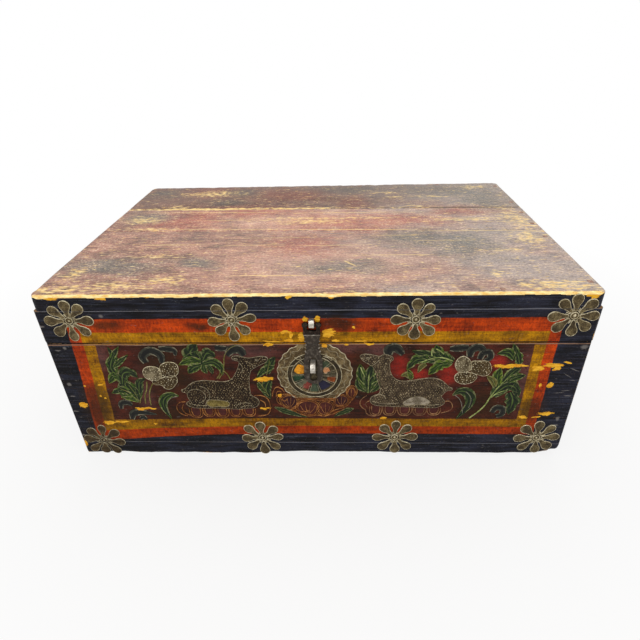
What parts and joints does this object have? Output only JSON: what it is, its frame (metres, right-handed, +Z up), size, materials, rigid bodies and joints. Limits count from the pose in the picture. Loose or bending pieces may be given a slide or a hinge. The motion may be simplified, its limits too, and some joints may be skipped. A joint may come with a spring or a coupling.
{
  "type": "wooden trunk",
  "caption": "Low painted wooden trunk with a hinged plank lid, dovetailed corners, raised flower and deer ornament, and an iron hasp over a padlock staple.",
  "frame": {"origin": "centre of the trunk's underside, where it stands on the floor", "axes": "+Z up, front with the hasp towards -Y, +X to the right of someone who faces the front"},
  "size_m": [0.7, 0.4959, 0.27],
  "materials": {
    "painted_wood": "softwood boards under distemper and lacquer, worn through to a yellow ground at the edges",
    "forged_iron": "hand-forged iron, dark brown patina, rubbed bright on the staples",
    "bamboo": "whittled bamboo, bare",
    "raised_gesso": "gesso piped and modelled on the boards, rubbed with dull silver and bronze paint"
  },
  "bodies": {
    "base": {"base_front_board": "painted_wood", "base_back_board": "painted_wood", "base_left_board": "painted_wood", "base_right_board": "painted_wood", "bottom_plank_front": "painted_wood", "bottom_plank_middle": "painted_wood", "bottom_plank_rear": "painted_wood", "bottom_plank_pins": "bamboo", "bottom_nails": "forged_iron", "padlock_staple": "forged_iron", "base_hinge_nails": "forged_iron", "left_hinge_base_leaf": "forged_iron", "right_hinge_base_leaf": "forged_iron", "left_hinge_pin": "forged_iron", "right_hinge_pin": "forged_iron"},
    "lid": {"lid_front_rail": "painted_wood", "lid_back_rail": "painted_wood", "lid_left_rail": "painted_wood", "lid_right_rail": "painted_wood", "top_plank_front": "painted_wood", "top_plank_middle": "painted_wood", "top_plank_rear": "painted_wood", "top_plank_pins": "bamboo", "top_nails": "forged_iron", "hasp_staple": "forged_iron", "lid_hinge_nails": "forged_iron", "left_hinge_lid_leaf": "forged_iron", "right_hinge_lid_leaf": "forged_iron"},
    "hasp": {"hasp_strap": "forged_iron", "hasp_pin": "forged_iron"}
  },
  "joints": [
    {"name": "lid_hinge", "type": "hinge", "parent": "base", "child": "lid", "pos_m": [0, 0.24015, 0.2], "axis": [-1, 0, 0], "range_deg": [0, 110]},
    {"name": "hasp_hinge", "type": "hinge", "parent": "lid", "child": "hasp", "pos_m": [0, -0.2414, 0.2295], "axis": [-1, 0, 0], "range_deg": [0, 170]}
  ]
}
